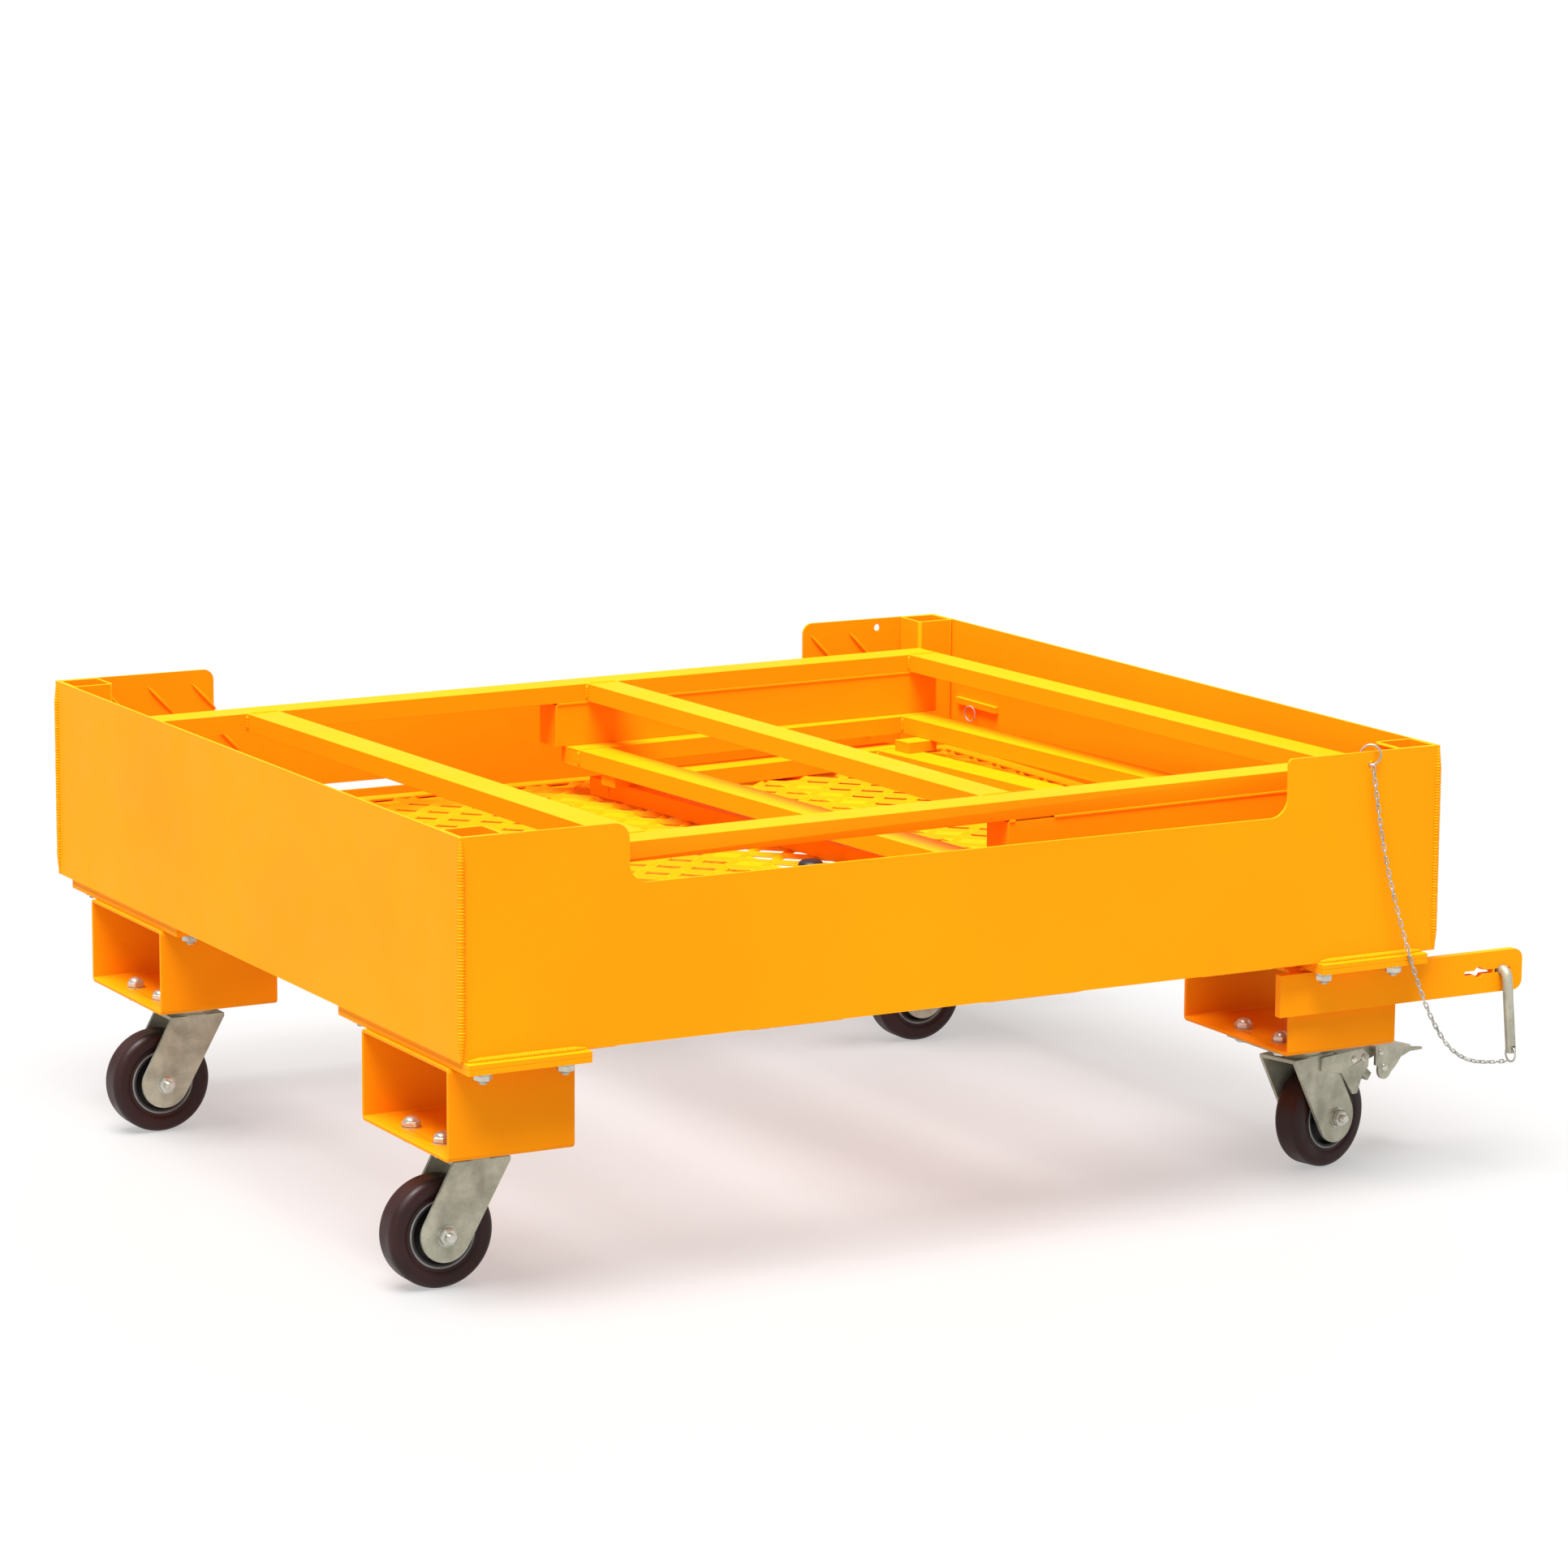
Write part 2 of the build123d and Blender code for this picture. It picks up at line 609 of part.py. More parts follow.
BOLT_HEX = 8
BOLT_HEAD = 5
CAP_NUT_HEX = 9
CAP_NUT_HEIGHT = 7
CAP_RADIUS = 8
CAP_HEIGHT = 6
CAP_TAPER = 30
pocket_floor = CASTER_HEIGHT + POCKET_WALL
with BuildPart() as caster_bolts:
    for x, y, _ in casters.values():
        for place in bolt_places(x, y):
            with BuildSketch(level(*place, plate_bottom)):
                RegularPolygon(BOLT_HEX, 6, major_radius=False)
            extrude(amount=-BOLT_HEAD)
            with BuildSketch(level(*place, plate_bottom)):
                Circle(BOLT_RADIUS)
            extrude(amount=CASTER_PLATE_THICKNESS + POCKET_WALL)
            with BuildSketch(level(*place, pocket_floor)):
                RegularPolygon(CAP_NUT_HEX, 6, major_radius=False)
            extrude(amount=CAP_NUT_HEIGHT)
            with BuildSketch(level(*place, pocket_floor + CAP_NUT_HEIGHT)):
                Circle(CAP_RADIUS)
            extrude(amount=CAP_HEIGHT, taper=CAP_TAPER)
save(caster_bolts.part, "caster_bolts")

# ---- brakes of the two right casters ---------------------------------------------------------------
# Outlines are given along the caster's trail, from its swivel axis, and above the ground.
PIVOT = (84, 124)
PIVOT_RADIUS = 3
BRAKE_SHEET = 3
BRACKET_TOP = 136
BRACKET_WEB = (38, 74)
BRACKET_OUTLINE = [
    (8, 136), (80, 136), (92, 126), (91, 113), (80, 103), (72, 84), (64, 84), (44, 112), (8, 120),
]
PEDAL_TOP = 134
PEDAL_START = 104
CHEEK_OUTLINE = [
    (104, 134), (188, 121), (188, 118), (166, 119), (150, 115), (141, 106), (131, 99), (104, 112),
]
CHEEK_FOOT = (121, 105)
CHEEK_FOOT_RADIUS = 12
LINK_RADIUS = 8
LINK_END = (108, 127)
TOE_REACH = 84
TOE_SLOPE = 8.8
TOE_CORNER = 18
SHOE_ANGLE = 35
SHOE_GAP = 0.5
SHOE_SIZE = (10, 14)
LINK_HALF_WIDTH = 20

# The shoe's tip is set where it just clears the tread at full travel, then turned back to rest.
reach = WHEEL_RADIUS + SHOE_GAP
tip_x = CASTER_TRAIL + reach * cos(radians(SHOE_ANGLE)) - PIVOT[0]
tip_z = WHEEL_RADIUS + reach * sin(radians(SHOE_ANGLE)) - PIVOT[1]
lift = radians(BRAKE_TRAVEL)
shoe_turn = radians(SHOE_ANGLE + BRAKE_TRAVEL)
shoe_x = PIVOT[0] + tip_x * cos(lift) - tip_z * sin(lift) + SHOE_SIZE[0] / 2 * cos(shoe_turn)
shoe_z = PIVOT[1] + tip_x * sin(lift) + tip_z * cos(lift) + SHOE_SIZE[0] / 2 * sin(shoe_turn)

for tag in ("fr", "rr"):
    x, y, angle = casters[tag]

    with BuildPart() as bracket:
        for side in (-1, 1):
            with BuildSketch(side_plane(x, y, angle, side * half_span)):
                Polygon(*BRACKET_OUTLINE, align=None)
                with Locations(PIVOT):
                    Circle(PIVOT_RADIUS + RUNNING_CLEARANCE, mode=Mode.SUBTRACT)
            extrude(amount=-side * BRAKE_SHEET)
        with BuildSketch(level(x, y, BRACKET_TOP, angle)):
            with Locations((sum(BRACKET_WEB) / 2, 0)):
                Rectangle(BRACKET_WEB[1] - BRACKET_WEB[0], 2 * (half_span + BRAKE_SHEET))
        extrude(amount=-BRAKE_SHEET)
    save(bracket.part, f"brake_bracket_{tag}")

    with BuildPart() as pedal:
        for side in (-1, 1):
            with BuildSketch(side_plane(x, y, angle, side * half_span)):
                Polygon(*CHEEK_OUTLINE, align=None)
                with Locations(CHEEK_FOOT):
                    Circle(CHEEK_FOOT_RADIUS)
            extrude(amount=-side * BRAKE_SHEET)
        slope = Plane(
            origin=steered(x, y, angle, PEDAL_START, 0, PEDAL_TOP),
            x_dir=trail_direction(angle).rotate(Axis((0, 0, 0), axle_direction(angle)), TOE_SLOPE),
            z_dir=Vector(0, 0, 1).rotate(Axis((0, 0, 0), axle_direction(angle)), TOE_SLOPE),
        )
        wide = half_span + BRAKE_SHEET
        shoulder = TOE_REACH - TOE_CORNER
        with BuildSketch(slope):
            Polygon(
                (0, -wide), (shoulder, -wide), (TOE_REACH, TOE_CORNER - wide),
                (TOE_REACH, wide - TOE_CORNER), (shoulder, wide), (0, wide),
                align=None,
            )
        extrude(amount=-BRAKE_SHEET)
        with BuildSketch(side_plane(x, y, angle, 0)):
            with Locations(PIVOT, LINK_END):
                Circle(LINK_RADIUS)
            make_hull()
            with Locations((shoe_x, shoe_z)):
                Rectangle(*SHOE_SIZE, rotation=degrees(shoe_turn))
        extrude(amount=LINK_HALF_WIDTH, both=True)
        with BuildSketch(side_plane(x, y, angle, 0)):
            with Locations(PIVOT):
                Circle(PIVOT_RADIUS)
        extrude(amount=half_span + 2 * BRAKE_SHEET, both=True)
    save(pedal.part, f"brake_pedal_{tag}")

# ---- guardrail panels, lying in the tray -----------------------------------------------------------
TOP_PANEL_BELOW_RIM = 30
SLEEVE_SIZE = (42, 52)
SLEEVE_WALL = 3
SLEEVE_GAP = 2
bar_half = TUBE_WIDTH / 2
top_panel_low = rim - TOP_PANEL_BELOW_RIM - TUBE_HEIGHT
sleeve_high = top_panel_low - SLEEVE_GAP
sleeve_low = sleeve_high - SLEEVE_SIZE[1]
middle_panel_low = sleeve_low - TUBE_HEIGHT
lower_panel_low = mesh_top
lower_panel_high = lower_panel_low + TUBE_HEIGHT


def tube_frame(place, x_span, half_depth, cross_bars):
    """A welded frame of two long tubes along X, open at their ends, and cross tubes between them."""
    length = x_span[1] - x_span[0]
    middle = (x_span[0] + x_span[1]) / 2
    row = half_depth - bar_half
    bore = TUBE_WIDTH - 2 * TUBE_WALL
    with BuildPart() as tubes:
        with BuildSketch(place):
            with Locations((middle, -row), (middle, row)):
                Rectangle(length, TUBE_WIDTH)
            with Locations(*[(x, 0) for x in cross_bars]):
                Rectangle(TUBE_WIDTH, 2 * row)
        extrude(amount=TUBE_HEIGHT)
        with BuildSketch(place.offset(TUBE_WALL)):
            with Locations((middle, -row), (middle, row)):
                Rectangle(length, bore)
            with Locations(*[(x, 0) for x in cross_bars]):
                Rectangle(bore, 2 * (row - bar_half))
        extrude(amount=TUBE_HEIGHT - 2 * TUBE_WALL, mode=Mode.SUBTRACT)
    return tubes.part


TOP_CENTRE = (650, 542)
TOP_ANGLE = 2.5
TOP_SPAN = (-590, 525)
TOP_HALF_DEPTH = 480
TOP_CROSS_BARS = (-430, 32, TOP_SPAN[1] - bar_half)
top_place = level(*TOP_CENTRE, top_panel_low, TOP_ANGLE)
with BuildPart() as top_panel:
    add(tube_frame(top_place, TOP_SPAN, TOP_HALF_DEPTH, TOP_CROSS_BARS))
save(top_panel.part, "guardrail_panel_top")

# Where the front (-1) and rear (1) sleeves start, and the middle and width of each bridge on them.
SLEEVE_STARTS = {-1: 20, 1: -33}
BRIDGES = ((55, 50), (270, 40))
BRIDGE_DEPTH = 34
with BuildPart() as sleeves:
    for side, start in SLEEVE_STARTS.items():
        row = side * (TOP_HALF_DEPTH - bar_half)
        length = TOP_SPAN[1] - start
        with BuildSketch(level(*TOP_CENTRE, sleeve_low, TOP_ANGLE)):
            with Locations((start + length / 2, row)):
                Rectangle(length, SLEEVE_SIZE[0])
        extrude(amount=SLEEVE_SIZE[1])
        with BuildSketch(level(*TOP_CENTRE, sleeve_low + SLEEVE_WALL, TOP_ANGLE)):
            with Locations((start + length / 2, row)):
                Rectangle(length, SLEEVE_SIZE[0] - 2 * SLEEVE_WALL)
        extrude(amount=SLEEVE_SIZE[1] - 2 * SLEEVE_WALL, mode=Mode.SUBTRACT)
        with BuildSketch(level(*TOP_CENTRE, sleeve_high, TOP_ANGLE)):
            for x, width in BRIDGES:
                with Locations((x, row)):
                    Rectangle(width, BRIDGE_DEPTH)
        extrude(amount=SLEEVE_GAP)
save(sleeves.part, "guardrail_sleeves")

MIDDLE_CENTRE = (908, 537)
MIDDLE_ANGLE = 4.3
MIDDLE_HALF = (262, 474)
half_x, half_y = MIDDLE_HALF
place = level(*MIDDLE_CENTRE, middle_panel_low, MIDDLE_ANGLE)
with BuildPart() as middle_panel:
    add(tube_frame(place, (-half_x, half_x), half_y, (bar_half - half_x, half_x - bar_half)))
save(middle_panel.part, "guardrail_panel_middle")

LOWER_CENTRE = (902, 564)
LOWER_ANGLE = 6
LOWER_HALF = (225, 420)
LUG_SIZE = (44, 30)
LUG_PLACE = (222, 350)
half_x, half_y = LOWER_HALF
place = level(*LOWER_CENTRE, lower_panel_low, LOWER_ANGLE)
with BuildPart() as lower_panel:
    add(tube_frame(place, (-half_x, half_x), half_y, (bar_half - half_x, half_x - bar_half)))
save(lower_panel.part, "guardrail_panel_lower")

with BuildPart() as stacking_lugs:
    with BuildSketch(level(*LOWER_CENTRE, lower_panel_high, LOWER_ANGLE)):
        for side_x in (-1, 1):
            for side_y in (-1, 1):
                with Locations((side_x * LUG_PLACE[0], side_y * LUG_PLACE[1])):
                    Rectangle(*LUG_SIZE)
    extrude(amount=middle_panel_low - lower_panel_high)
save(stacking_lugs.part, "stacking_lugs")
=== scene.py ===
import json
import math
import random

import bmesh
import bpy
from mathutils import Matrix, Vector


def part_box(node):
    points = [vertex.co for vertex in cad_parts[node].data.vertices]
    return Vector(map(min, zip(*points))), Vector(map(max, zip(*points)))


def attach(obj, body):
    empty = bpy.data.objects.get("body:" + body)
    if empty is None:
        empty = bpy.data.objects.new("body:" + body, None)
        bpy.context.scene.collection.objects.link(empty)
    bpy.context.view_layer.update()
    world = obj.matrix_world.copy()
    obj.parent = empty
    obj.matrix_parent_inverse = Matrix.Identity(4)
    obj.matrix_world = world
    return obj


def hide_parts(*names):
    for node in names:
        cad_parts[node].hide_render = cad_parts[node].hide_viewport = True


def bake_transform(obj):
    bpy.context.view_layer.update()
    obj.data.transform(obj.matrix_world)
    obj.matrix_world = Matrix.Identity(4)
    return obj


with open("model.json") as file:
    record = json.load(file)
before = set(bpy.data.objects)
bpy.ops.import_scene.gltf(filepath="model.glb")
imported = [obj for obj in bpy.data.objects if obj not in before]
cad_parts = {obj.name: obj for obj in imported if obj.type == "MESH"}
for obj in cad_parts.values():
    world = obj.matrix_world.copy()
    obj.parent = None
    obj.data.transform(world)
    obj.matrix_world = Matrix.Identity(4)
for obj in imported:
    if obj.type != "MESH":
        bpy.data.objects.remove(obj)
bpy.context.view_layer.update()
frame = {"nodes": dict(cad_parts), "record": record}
nodes = frame["nodes"]
scene = bpy.context.scene
MM = 0.001


def span(node):
    """Lowest corner, highest corner and middle of a CAD node at rest."""
    low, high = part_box(node)
    return low, high, (low + high) / 2


# ---- camera ------------------------------------------------------------------------------------
# Azimuth is the heading from +Y towards +X.
CAMERA_PLACE = Vector((-2.9335, -5.319, 1.521))
CAMERA_AZIMUTH = math.radians(29.02)
CAMERA_DOWN = math.radians(10.29)
CAMERA_ROLL = math.radians(0.38)
CAMERA_LENS = 121.44

camera = bpy.data.objects.new("camera", bpy.data.cameras.new("camera"))
scene.collection.objects.link(camera)
scene.camera = camera
camera.data.lens = CAMERA_LENS
camera.data.sensor_width = 36
level_right = Vector((math.cos(CAMERA_AZIMUTH), -math.sin(CAMERA_AZIMUTH), 0))
forward = Vector((
    math.sin(CAMERA_AZIMUTH) * math.cos(CAMERA_DOWN),
    math.cos(CAMERA_AZIMUTH) * math.cos(CAMERA_DOWN),
    -math.sin(CAMERA_DOWN),
))
level_up = level_right.cross(forward)
right = level_right * math.cos(CAMERA_ROLL) + level_up * math.sin(CAMERA_ROLL)
up = right.cross(forward)
camera.matrix_world = Matrix.Translation(CAMERA_PLACE) @ Matrix((right, up, -forward)).transposed().to_4x4()
camera.data.clip_start = 0.1
camera.data.clip_end = 60

# ---- procedural materials ----------------------------------------------------------------------


class Shader:
    """A principled material whose nodes are added by short calls."""

    def __init__(self, name, **sockets):
        self.material = bpy.data.materials.new(name)
        self.material.use_nodes = True
        self.tree = self.material.node_tree
        self.main = self.tree.nodes["Principled BSDF"]
        for socket, value in sockets.items():
            self.main.inputs[socket.replace("_", " ")].default_value = value
        place = self.node("ShaderNodeTexCoord")
        self.place = place.outputs["Object"]

    def node(self, kind, **settings):
        made = self.tree.nodes.new(kind)
        for key, value in settings.items():
            setattr(made, key, value)
        return made

    def link(self, output, target):
        self.tree.links.new(output, target)

    def noise(self, scale, detail=3.0, roughness=0.5, stretch=None):
        made = self.node("ShaderNodeTexNoise")
        made.inputs["Scale"].default_value = scale
        made.inputs["Detail"].default_value = detail
        made.inputs["Roughness"].default_value = roughness
        source = self.place
        if stretch:
            mapping = self.node("ShaderNodeMapping")
            mapping.inputs["Scale"].default_value = stretch
            self.link(self.place, mapping.inputs["Vector"])
            source = mapping.outputs["Vector"]
        self.link(source, made.inputs["Vector"])
        return made.outputs["Fac"]

    def ramp(self, value, low, high, start=0.0, end=1.0):
        made = self.node("ShaderNodeMapRange")
        made.inputs["From Min"].default_value = start
        made.inputs["From Max"].default_value = end
        made.inputs["To Min"].default_value = low
        made.inputs["To Max"].default_value = high
        self.link(value, made.inputs["Value"])
        return made.outputs["Result"]

    def mix(self, share, first, second):
        made = self.node("ShaderNodeMix", data_type="RGBA")
        self.link(share, made.inputs["Factor"])
        for index, colour in ((6, first), (7, second)):
            if isinstance(colour, tuple):
                made.inputs[index].default_value = (*colour, 1)
            else:
                self.link(colour, made.inputs[index])
        return made.outputs[2]

    def edges(self, radius, start, end):
        """1 on sharp edges, 0 on flat faces."""
        bevel = self.node("ShaderNodeBevel", samples=4)
        bevel.inputs["Radius"].default_value = radius
        geometry = self.node("ShaderNodeNewGeometry")
        dot = self.node("ShaderNodeVectorMath", operation="DOT_PRODUCT")
        self.link(bevel.outputs["Normal"], dot.inputs[0])
        self.link(geometry.outputs["Normal"], dot.inputs[1])
        return self.ramp(dot.outputs["Value"], 1.0, 0.0, start, end)

    def bump(self, height, strength, distance):
        made = self.node("ShaderNodeBump")
        made.inputs["Strength"].default_value = strength
        made.inputs["Distance"].default_value = distance
        self.link(height, made.inputs["Height"])
        self.link(made.outputs["Normal"], self.main.inputs["Normal"])

    def colour(self, output):
        self.link(output, self.main.inputs["Base Color"])

    def roughness(self, output):
        self.link(output, self.main.inputs["Roughness"])


def enamel(name, base, shade, bright, rough=(0.36, 0.5)):
    """Glossy enamel: orange-peel bump, slow colour drift, fine dust, and a paler colour on the edges that is
    a painted highlight.
    """
    made = Shader(name, Metallic=0.0, Specular_IOR_Level=0.03)
    drift = made.ramp(made.noise(3.1, 4.0), 0.0, 1.0, 0.35, 0.68)
    body = made.mix(drift, base, shade)
    speck = made.ramp(made.noise(95.0, 2.0), 0.0, 0.5, 0.62, 0.8)
    dusty = made.mix(speck, body, shade)
    # Sharp edges blend to the bright colour. This is a painted highlight standing in for light caught by the
    # rounded edges.
    edge_highlight = made.edges(0.0012, 0.80, 0.995)
    made.colour(made.mix(edge_highlight, dusty, bright))
    made.roughness(made.ramp(made.noise(22.0, 4.0), rough[0], rough[1], 0.3, 0.7))
    made.bump(made.noise(210.0, 2.0), 0.12, 0.0006)
    return made.material


def plated(name, base, dull, rough=(0.28, 0.5), metallic=0.85):
    """Zinc plate: crystalline blotches, fine scratches and dull handling marks."""
    made = Shader(name, Metallic=metallic)
    blotch = made.ramp(made.noise(46.0, 5.0, 0.6), 0.0, 1.0, 0.36, 0.66)
    scratch = made.ramp(made.noise(60.0, 3.0, 0.6, stretch=(1, 1, 14)), 0.0, 0.35, 0.52, 0.75)
    made.colour(made.mix(scratch, made.mix(blotch, base, dull), dull))
    made.roughness(made.ramp(made.noise(31.0, 4.0), rough[0], rough[1], 0.3, 0.7))
    made.bump(made.noise(340.0, 3.0), 0.16, 0.0003)
    return made.material


def moulded(name, base, shade, rough=(0.4, 0.6), grain=260.0):
    """Moulded rubber or polyurethane: soft mottling and a fine grain."""
    made = Shader(name, Metallic=0.0, Specular_IOR_Level=0.28)
    mottle = made.ramp(made.noise(28.0, 4.0), 0.0, 1.0, 0.35, 0.7)
    made.colour(made.mix(mottle, base, shade))
    made.roughness(made.ramp(made.noise(44.0, 3.0), rough[0], rough[1], 0.3, 0.7))
    made.bump(made.noise(grain, 3.0), 0.2, 0.0004)
    return made.material


# The last colour given to each enamel is its painted edge highlight.
paint = enamel("safety_enamel", (1.0, 0.335, 0.003), (0.98, 0.305, 0.003), (1.0, 0.42, 0.010))
# The fork pockets get a darker copy of the safety enamel, which paints in the shade of their place under the
# tray.
painted_shade_enamel = enamel("pocket_enamel_painted_shade", (0.93, 0.30, 0.003), (0.86, 0.25, 0.003), (0.98, 0.39, 0.010))
zinc = plated("zinc_plate", (0.50, 0.49, 0.38), (0.33, 0.32, 0.25), (0.32, 0.55), 0.5)
bright_zinc = plated("bright_zinc", (0.68, 0.68, 0.60), (0.46, 0.46, 0.40), (0.22, 0.4), 0.75)
chain_steel = plated("chain_steel", (0.55, 0.55, 0.50), (0.34, 0.34, 0.30), (0.25, 0.45), 0.55)
polyurethane = moulded("maroon_polyurethane", (0.028, 0.007, 0.006), (0.018, 0.005, 0.005), (0.36, 0.55))
core_iron = moulded("wheel_core", (0.028, 0.022, 0.022), (0.018, 0.015, 0.015), (0.4, 0.6), 420.0)
rim_grey = plated("rim_grey", (0.26, 0.27, 0.26), (0.15, 0.155, 0.15), (0.35, 0.5), 0.4)
dark_rubber = moulded("dark_rubber", (0.012, 0.011, 0.014), (0.02, 0.018, 0.02), (0.35, 0.55))
polished = plated("polished_steel", (0.75, 0.74, 0.72), (0.6, 0.6, 0.58), (0.15, 0.28), 0.95)

by_slot = {
    "safety_paint": paint,
    "socket_paint": painted_shade_enamel,
    "zinc": zinc,
    "fastener_zinc": bright_zinc,
    "chain_steel": chain_steel,
    "tread_polyurethane": polyurethane,
    "wheel_core_iron": core_iron,
    "bearing_steel": polished,
    "dark_rubber": dark_rubber,
}

# ---- making pieces -----------------------------------------------------------------------------


def piece(name, mesh, body, material, replaced=()):
    made = bpy.data.objects.new(name, mesh)
    scene.collection.objects.link(made)
    mesh.materials.append(material)
    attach(made, body)
    if replaced:
        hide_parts(*replaced)
    return made


def smooth(mesh, angle=35):
    mesh.shade_smooth()
    mesh.set_sharp_from_angle(angle=math.radians(angle))


def from_bmesh(name, bm):
    mesh = bpy.data.meshes.new(name)
    bm.normal_update()
    bm.to_mesh(mesh)
    bm.free()
    return mesh


# ---- mesh tools ----------------------------------------------------------------------------------
UP = Vector((0, 0, 1))


def loft(bm, rings, looped=False):
    """Joins rings of points into a closed skin: looped end to end, or capped."""
    rows = [[bm.verts.new(point) for point in ring] for ring in rings]
    pairs = list(zip(rows, rows[1:]))
    if looped:
        pairs.append((rows[-1], rows[0]))
    for first, second in pairs:
        for index in range(len(first)):
            after = (index + 1) % len(first)
            bm.faces.new((first[index], first[after], second[after], second[index]))
    if not looped:
        bm.faces.new(list(reversed(rows[0])))
        bm.faces.new(rows[-1])


def placed(origin, z_axis, x_axis=None):
    """A matrix at a point in metres, whose Z and, nearly, X run as given."""
    z = Vector(z_axis).normalized()
    guess = Vector(x_axis) if x_axis else (Vector((1, 0, 0)) if abs(z.x) < 0.9 else Vector((0, 1, 0)))
    y = z.cross(guess).normalized()
    x = y.cross(z)
    return Matrix.Translation(origin) @ Matrix((x, y, z)).transposed().to_4x4()


def circle(place, radius, height, sides, turn=0.0):
    steps = [2 * math.pi * index / sides + turn for index in range(sides)]
    return [
        place @ Vector((radius * math.cos(t) * MM, radius * math.sin(t) * MM, height * MM)) for t in steps
    ]


def lathe(bm, place, profile, sides=32, looped=False):
    """Turns a profile of (radius, height) in mm about the place's Z."""
    loft(bm, [circle(place, radius, height, sides) for radius, height in profile], looped)


def hexagon(bm, place, flats, low, high, chamfer=0.9):
    """A hexagonal nut or head with its corners taken off at both ends."""
    radius = flats / 2 / math.cos(math.pi / 6)
    small = radius - chamfer * 1.4
    profile = [(small, low), (radius, low + chamfer), (radius, high - chamfer), (small, high)]
    loft(bm, [circle(place, r, h, 6) for r, h in profile])


def thread(bm, place, radius, low, high, pitch=1.25):
    """A threaded end, as grooves turned at the pitch of the thread."""
    profile = [(radius - 0.5, low)]
    height = low
    while height + pitch < high:
        profile += [(radius - 0.45, height + 0.1), (radius, height + pitch / 2)]
        height += pitch
    profile += [(radius - 0.7, high)]
    lathe(bm, place, profile, 20)


def ring(bm, place, radius, wire, sides=40, wire_sides=10):
    """A ring of round wire about the place's Z."""
    profile = []
    for index in range(wire_sides):
        t = 2 * math.pi * index / wire_sides
        profile.append((radius + wire * math.cos(t), wire * math.sin(t)))
    lathe(bm, place, profile, sides, looped=True)


def tube(bm, line, radii, sides=8, looped=False):
    """A round tube whose radius, in mm, follows a list along the line."""
    rings = []
    count = len(line)
    side = None
    for index, point in enumerate(line):
        before = line[index - 1] if index or looped else point
        after = line[(index + 1) % count] if index < count - 1 or looped else point
        along = (after - before).normalized()
        if side is None:
            side = along.orthogonal().normalized()
        side = (side - along * side.dot(along)).normalized()
        other = along.cross(side)
        radius = radii[index] * MM
        turns = [2 * math.pi * k / sides for k in range(sides)]
        rings.append([point + side * radius * math.cos(t) + other * radius * math.sin(t) for t in turns])
    loft(bm, rings, looped)


RIPPLE = 3.2
RIPPLE_DEPTH = 0.13


def bead(bm, start, end, radius):
    """A weld bead between two points in metres, rippled as the torch moved."""
    length = (end - start).length / MM
    count = max(6, int(length / RIPPLE * 4))
    line, radii = [], []
    for index in range(count + 1):
        share = index / count
        ends = min(1.0, 6 * min(share, 1 - share) + 0.45)
        wave = math.sin(2 * math.pi * share * length / RIPPLE)
        swell = 1 + RIPPLE_DEPTH * wave + random.uniform(-0.05, 0.05)
        radii.append(radius * ends * swell)
        line.append(start.lerp(end, share))
    tube(bm, line, radii)


def bar(bm, start, end, width_axis, width, thickness, chamfer=0.25):
    """A flat bar between two points in metres; its section's corners are taken off."""
    along = (end - start).normalized()
    across = (width_axis - along * width_axis.dot(along)).normalized()
    over = along.cross(across)
    half_width, half_thick = width / 2 * MM, thickness / 2 * MM
    cut = chamfer * min(half_width, half_thick)
    section = []
    for x, y in ((1, 1), (-1, 1), (-1, -1), (1, -1)):
        on_flat = (x * (half_width - cut), y * half_thick)
        on_edge = (x * half_width, y * (half_thick - cut))
        section += [on_edge, on_flat] if x * y > 0 else [on_flat, on_edge]
    loft(bm, [[end_point + across * x + over * y for x, y in section] for end_point in (start, end)])


def at(x, y, z):
    """A point given in mm from the tray's front left corner and the ground."""
    return Vector((tray.x + x * MM, tray.y + y * MM, z * MM))


def finish_mesh(name, bm, angle=35):
    bmesh.ops.recalc_face_normals(bm, faces=bm.faces[:])
    mesh = from_bmesh(name, bm)
    smooth(mesh, angle)
    return mesh


random.seed(11)
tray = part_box("left_wall")[0]
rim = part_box("left_wall")[1].z / MM
wall_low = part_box("left_wall")[0].z / MM
tray_width = (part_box("right_wall")[1].x - tray.x) / MM
tray_depth = (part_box("left_wall")[1].y - tray.y) / MM
joints = {entry["name"]: entry for entry in frame["record"]["behaviour"]["joints"]}

# ---- CAD nodes: material, and a small rounding on every edge ---------------------------------------
ROUNDING = {"wheel_tread": 0.0, "lock_bar": 0.0, "pin_chain": 0.0, "wall_ring": 0.0, "pin_ring": 0.0}
slot_of = {entry["node"]: entry["material_slot"] for entry in frame["record"]["subparts"]}
for name, node in nodes.items():
    node.data.materials.clear()
    node.data.materials.append(by_slot[slot_of[name]])
    width = next((w for start, w in ROUNDING.items() if name.startswith(start)), 0.7)
    if width:
        weld = node.modifiers.new("join", "WELD")
        weld.merge_threshold = 0.00001
        rounding = node.modifiers.new("rounding", "BEVEL")
        rounding.width = width * MM
        rounding.segments = 2
        rounding.limit_method = "ANGLE"
        rounding.angle_limit = math.radians(32)
        rounding.harden_normals = True

# ---- floor of expanded metal -----------------------------------------------------------------------
DIAMOND = (60.0, 57.0)
WIDE_STRAND = (7.6, 1.8)
THIN_STRAND = (6.4, 1.6)
floor_low, floor_high, _ = span("floor_mesh")
inset = 0.5 * MM
lattice = bmesh.new()


def clipped(point, direction):
    """The piece of a level line inside the floor, as two distances along it."""
    near, far = -10.0, 10.0
    for axis in (0, 1):
        edges = sorted(
            (edge - point[axis]) / direction[axis]
            for edge in (floor_low[axis] + inset, floor_high[axis] - inset)
        )
        near, far = max(near, edges[0]), min(far, edges[1])
    return near, far


